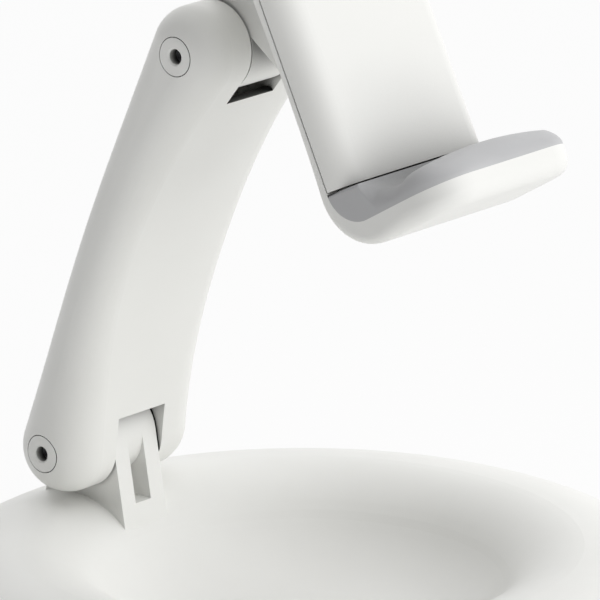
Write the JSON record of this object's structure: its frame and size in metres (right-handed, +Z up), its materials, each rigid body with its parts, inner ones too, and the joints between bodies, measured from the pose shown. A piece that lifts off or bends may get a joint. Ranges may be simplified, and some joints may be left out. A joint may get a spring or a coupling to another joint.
{
  "type": "foldable tablet holder",
  "caption": "Desk stand with a round weighted dish base, a forked arm on friction hinges and a J-shaped holder with a silicone-lined lip that props up a tablet.",
  "frame": {"origin": "middle of the round foot pad's underside, on the surface that the stand rests on", "axes": "+Z up, the holder faces -Y, both hinge axes along X"},
  "size_m": [0.162, 0.162, 0.1944],
  "materials": {
    "white_shell": "satin moulded white",
    "grey_silicone": "soft matte cool grey",
    "foot_rubber": "matte dark grey",
    "steel": "plain steel",
    "friction_polymer": "dark low-wear polymer",
    "weight_iron": "raw"
  },
  "bodies": {
    "base": {"base_shell": "white_shell", "base_bottom_cover": "white_shell", "base_screws": "steel", "base_weight": "weight_iron", "foot_pad": "foot_rubber", "lower_friction_sleeve": "friction_polymer"},
    "arm": {"arm_shell": "white_shell", "arm_back_cover": "white_shell", "lower_pivot_post": "steel", "lower_pivot_screw": "steel", "lower_friction_washers": "friction_polymer", "lower_cap_left": "white_shell", "lower_cap_right": "white_shell", "upper_pivot_post": "steel", "upper_pivot_screw": "steel", "upper_friction_washers": "friction_polymer", "upper_cap_left": "white_shell", "upper_cap_right": "white_shell"},
    "holder": {"holder_back_shell": "white_shell", "holder_front_cover": "white_shell", "lip_pad": "grey_silicone", "upper_friction_sleeve": "friction_polymer"}
  },
  "joints": [
    {"name": "arm_fold", "type": "hinge", "parent": "base", "child": "arm", "pos_m": [0, 0.0556, 0.0362], "axis": [1, 0, 0], "range_deg": [-40, 25]},
    {"name": "holder_tilt", "type": "hinge", "parent": "arm", "child": "holder", "pos_m": [0, 0.01761, 0.12838], "axis": [-1, 0, 0], "range_deg": [-45, 120]}
  ]
}
